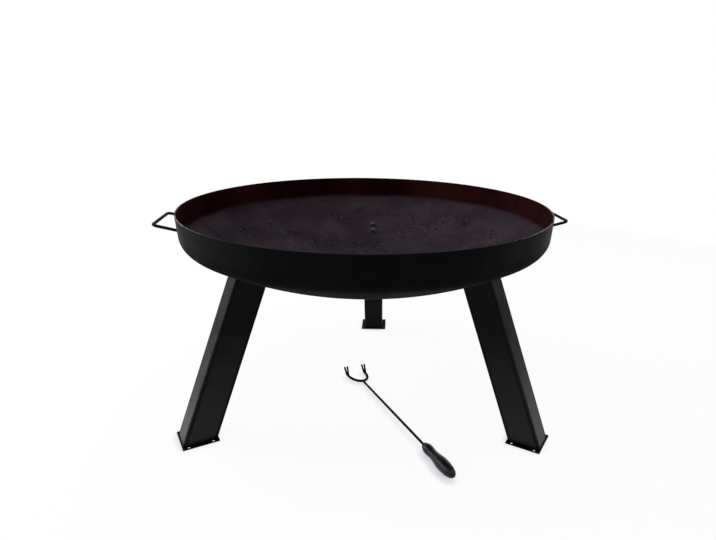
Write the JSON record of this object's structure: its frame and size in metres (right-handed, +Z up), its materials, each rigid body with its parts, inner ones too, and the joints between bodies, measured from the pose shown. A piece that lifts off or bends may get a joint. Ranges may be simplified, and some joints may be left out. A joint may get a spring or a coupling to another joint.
{
  "type": "fire bowl",
  "caption": "Wide shallow steel bowl for an open fire on splayed box legs with foot plates, with rod handles at its rim and a loose fork-ended poker.",
  "frame": {"origin": "on the ground, under the middle of the whole object's box; the bowl's own axis stands 20 mm in front of it, at y = -0.020", "axes": "+Z up, +Y towards the rear leg, +X to the right seen from the front; the poker lies in front, its grip towards -Y"},
  "size_m": [0.9074, 0.8498, 0.47],
  "materials": {
    "black_coat": "matt heat-proof black coating",
    "dark_bolt": "blackened steel",
    "zinc": "zinc plated",
    "black_rod": "satin black coating",
    "black_grip": "satin black"
  },
  "bodies": {
    "fire_bowl": {"bowl": "black_coat", "left_handle": "black_coat", "right_handle": "black_coat", "rear_leg_tube": "black_coat", "rear_leg_top_plate": "black_coat", "rear_foot_plate": "black_coat", "rear_leg_inner_bolt": "dark_bolt", "rear_leg_inner_washer": "zinc", "rear_leg_inner_weld_nut": "zinc", "rear_leg_outer_bolt": "dark_bolt", "rear_leg_outer_washer": "zinc", "rear_leg_outer_weld_nut": "zinc", "left_leg_tube": "black_coat", "left_leg_top_plate": "black_coat", "left_foot_plate": "black_coat", "left_leg_inner_bolt": "dark_bolt", "left_leg_inner_washer": "zinc", "left_leg_inner_weld_nut": "zinc", "left_leg_outer_bolt": "dark_bolt", "left_leg_outer_washer": "zinc", "left_leg_outer_weld_nut": "zinc", "right_leg_tube": "black_coat", "right_leg_top_plate": "black_coat", "right_foot_plate": "black_coat", "right_leg_inner_bolt": "dark_bolt", "right_leg_inner_washer": "zinc", "right_leg_inner_weld_nut": "zinc", "right_leg_outer_bolt": "dark_bolt", "right_leg_outer_washer": "zinc", "right_leg_outer_weld_nut": "zinc"},
    "poker": {"poker_rod": "black_rod", "poker_fork": "black_rod", "poker_ferrule": "dark_bolt", "poker_grip": "black_grip"}
  },
  "joints": [
    {"name": "poker_draw", "type": "slide", "parent": "fire_bowl", "child": "poker", "axis": [0.4586, -0.8886, 0], "range_m": [0, 0.55]}
  ]
}
